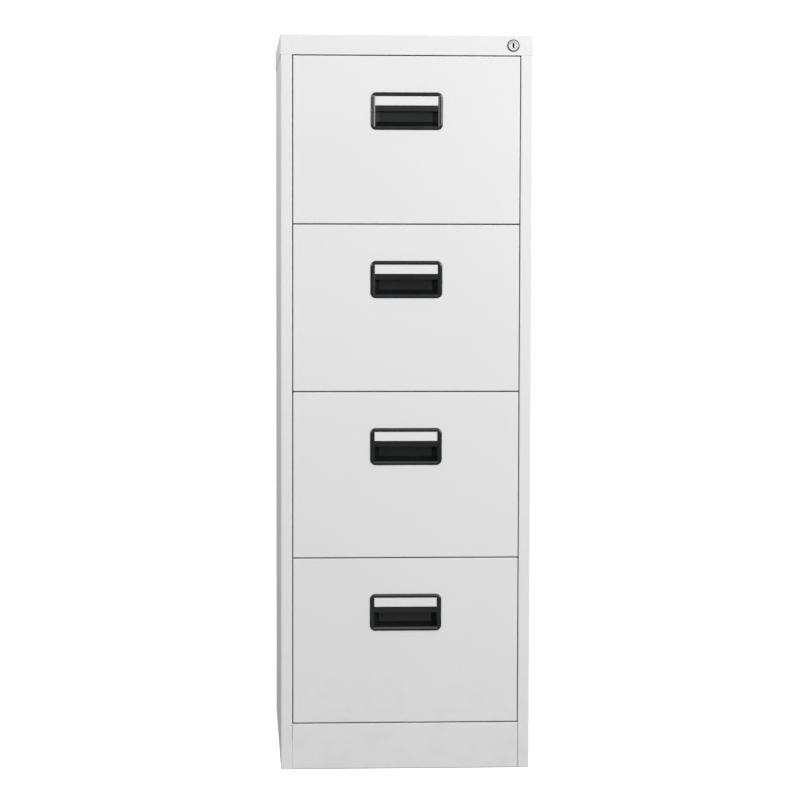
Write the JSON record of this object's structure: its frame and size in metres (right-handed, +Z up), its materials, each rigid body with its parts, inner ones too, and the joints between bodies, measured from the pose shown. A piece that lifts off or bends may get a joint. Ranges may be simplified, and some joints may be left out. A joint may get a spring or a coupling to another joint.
{
  "type": "metal filing cabinet",
  "caption": "Tall upright steel filing cabinet with stacked drawers on ball-bearing slides, recessed black handles with label windows, and a cylinder lock in the top rail.",
  "frame": {"origin": "middle of the footprint, on the floor", "axes": "+Z up, -Y out of the drawer fronts, +X to the right-hand side seen from the front"},
  "size_m": [0.454, 0.6224, 1.33],
  "materials": {
    "carcass_paint": "fine-textured powder coat, light grey",
    "drawer_paint": "fine-textured powder coat, light grey",
    "inner_paint": "thin satin coat, light grey",
    "handle_plastic": "semi-gloss black moulding",
    "label_card": "blank light card",
    "zinc_steel": "bright zinc-plated steel",
    "lock_chrome": "polished die casting",
    "lock_plug_metal": "satin nickel plate",
    "guide_nylon": "natural nylon"
  },
  "bodies": {
    "carcass": {"back_panel": "carcass_paint", "base_pan": "carcass_paint", "front_post_left": "inner_paint", "front_post_right": "inner_paint", "lock_bar_guides": "guide_nylon", "lock_housing": "lock_chrome", "lock_nut": "zinc_steel", "outer_slides_1": "zinc_steel", "outer_slides_2": "zinc_steel", "outer_slides_3": "zinc_steel", "outer_slides_4": "zinc_steel", "plinth": "carcass_paint", "rear_post_left": "inner_paint", "rear_post_right": "inner_paint", "side_panel_left": "carcass_paint", "side_panel_right": "carcass_paint", "slide_screws": "zinc_steel", "top_cap": "carcass_paint"},
    "drawer_1": {"drawer_1_back": "inner_paint", "drawer_1_body": "inner_paint", "drawer_1_catch": "zinc_steel", "drawer_1_front": "drawer_paint", "drawer_1_handle": "handle_plastic", "drawer_1_label_card": "label_card", "drawer_1_liner": "inner_paint", "drawer_1_slides": "zinc_steel"},
    "middle_slides_1": {"middle_slides_1": "zinc_steel"},
    "drawer_2": {"drawer_2_back": "inner_paint", "drawer_2_body": "inner_paint", "drawer_2_catch": "zinc_steel", "drawer_2_front": "drawer_paint", "drawer_2_handle": "handle_plastic", "drawer_2_label_card": "label_card", "drawer_2_liner": "inner_paint", "drawer_2_slides": "zinc_steel"},
    "middle_slides_2": {"middle_slides_2": "zinc_steel"},
    "drawer_3": {"drawer_3_back": "inner_paint", "drawer_3_body": "inner_paint", "drawer_3_catch": "zinc_steel", "drawer_3_front": "drawer_paint", "drawer_3_handle": "handle_plastic", "drawer_3_label_card": "label_card", "drawer_3_liner": "inner_paint", "drawer_3_slides": "zinc_steel"},
    "middle_slides_3": {"middle_slides_3": "zinc_steel"},
    "drawer_4": {"drawer_4_back": "inner_paint", "drawer_4_body": "inner_paint", "drawer_4_catch": "zinc_steel", "drawer_4_front": "drawer_paint", "drawer_4_handle": "handle_plastic", "drawer_4_label_card": "label_card", "drawer_4_liner": "inner_paint", "drawer_4_slides": "zinc_steel"},
    "middle_slides_4": {"middle_slides_4": "zinc_steel"},
    "lock_plug": {"lock_plug": "lock_plug_metal", "lock_cam": "zinc_steel", "lock_cam_screw": "zinc_steel"},
    "lock_bar": {"lock_bar": "zinc_steel", "lock_bar_hooks": "zinc_steel", "lock_bar_arm": "zinc_steel"}
  },
  "joints": [
    {"name": "drawer_1_slide", "type": "slide", "parent": "carcass", "child": "drawer_1", "axis": [0, -1, 0], "range_m": [0, 0.52]},
    {"name": "middle_slides_1_slide", "type": "slide", "parent": "carcass", "child": "middle_slides_1", "axis": [0, -1, 0], "range_m": [0, 0.26]},
    {"name": "drawer_2_slide", "type": "slide", "parent": "carcass", "child": "drawer_2", "axis": [0, -1, 0], "range_m": [0, 0.52]},
    {"name": "middle_slides_2_slide", "type": "slide", "parent": "carcass", "child": "middle_slides_2", "axis": [0, -1, 0], "range_m": [0, 0.26]},
    {"name": "drawer_3_slide", "type": "slide", "parent": "carcass", "child": "drawer_3", "axis": [0, -1, 0], "range_m": [0, 0.52]},
    {"name": "middle_slides_3_slide", "type": "slide", "parent": "carcass", "child": "middle_slides_3", "axis": [0, -1, 0], "range_m": [0, 0.26]},
    {"name": "drawer_4_slide", "type": "slide", "parent": "carcass", "child": "drawer_4", "axis": [0, -1, 0], "range_m": [0, 0.52]},
    {"name": "middle_slides_4_slide", "type": "slide", "parent": "carcass", "child": "middle_slides_4", "axis": [0, -1, 0], "range_m": [0, 0.26]},
    {"name": "lock_turn", "type": "hinge", "parent": "carcass", "child": "lock_plug", "pos_m": [0.1915, -0.31, 1.3115], "axis": [0, -1, 0], "range_deg": [0, 90]},
    {"name": "lock_bar_lift", "type": "slide", "parent": "carcass", "child": "lock_bar", "axis": [0, 0, 1], "range_m": [0, 0.01202]}
  ],
  "couplings": [
    {"joint": "middle_slides_1_slide", "follows": "drawer_1_slide", "ratio": 0.5},
    {"joint": "middle_slides_2_slide", "follows": "drawer_2_slide", "ratio": 0.5},
    {"joint": "middle_slides_3_slide", "follows": "drawer_3_slide", "ratio": 0.5},
    {"joint": "middle_slides_4_slide", "follows": "drawer_4_slide", "ratio": 0.5},
    {"joint": "lock_turn", "follows": "lock_bar_lift", "rad_per_m": 130.67}
  ]
}
